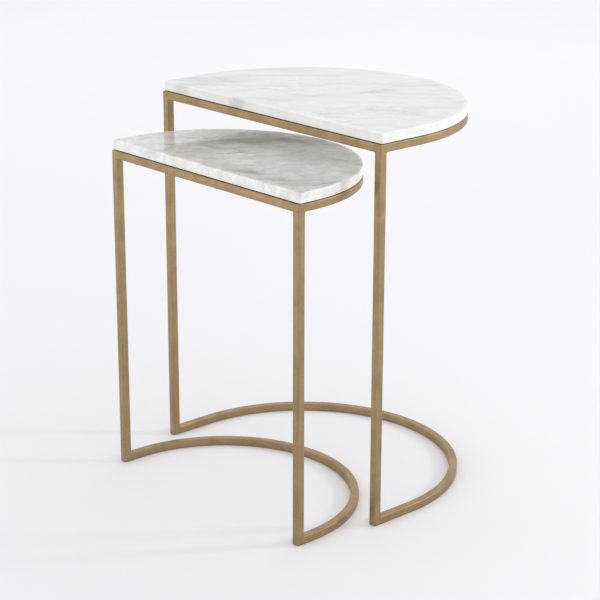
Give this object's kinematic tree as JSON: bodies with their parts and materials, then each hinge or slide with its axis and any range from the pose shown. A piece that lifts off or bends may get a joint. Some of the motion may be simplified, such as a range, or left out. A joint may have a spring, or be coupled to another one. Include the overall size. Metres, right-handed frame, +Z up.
{
  "type": "nesting tables",
  "caption": "Half-moon nesting tables: marble slab tops on square metal tube frames with curved floor bases; the low table slides in under the tall one.",
  "frame": {"origin": "on the floor, at the middle of the box around both tables in the stored pose", "axes": "+Z up; +X across both tables along their straight sides, to the right seen from the flat side; -Y is the flat, open side that the small table is drawn out of"},
  "size_m": [0.5, 0.465, 0.61],
  "materials": {
    "frame_brass": "antique satin brass finish on steel tube, finely brushed",
    "pale_marble": "polished white marble with soft grey streaks",
    "grey_marble": "polished pale grey marble with cloudy darker veins",
    "pad_rubber": "matte black"
  },
  "bodies": {
    "large_table": {"large_marble_slab": "pale_marble", "large_front_rail": "frame_brass", "large_curved_rail": "frame_brass", "large_left_leg": "frame_brass", "large_right_leg": "frame_brass", "large_base_arc": "frame_brass", "large_pad_front_left": "pad_rubber", "large_pad_front_middle": "pad_rubber", "large_pad_front_right": "pad_rubber", "large_pad_right": "pad_rubber", "large_pad_back": "pad_rubber", "large_pad_left": "pad_rubber"},
    "small_table": {"small_marble_slab": "grey_marble", "small_front_rail": "frame_brass", "small_curved_rail": "frame_brass", "small_left_leg": "frame_brass", "small_right_leg": "frame_brass", "small_base_arc": "frame_brass", "small_pad_front_left": "pad_rubber", "small_pad_front_middle": "pad_rubber", "small_pad_front_right": "pad_rubber", "small_pad_right": "pad_rubber", "small_pad_back": "pad_rubber", "small_pad_left": "pad_rubber"}
  },
  "joints": [
    {"name": "nest_slide", "type": "slide", "parent": "large_table", "child": "small_table", "axis": [0, 1, 0], "range_m": [-0.2, 0.133]}
  ]
}
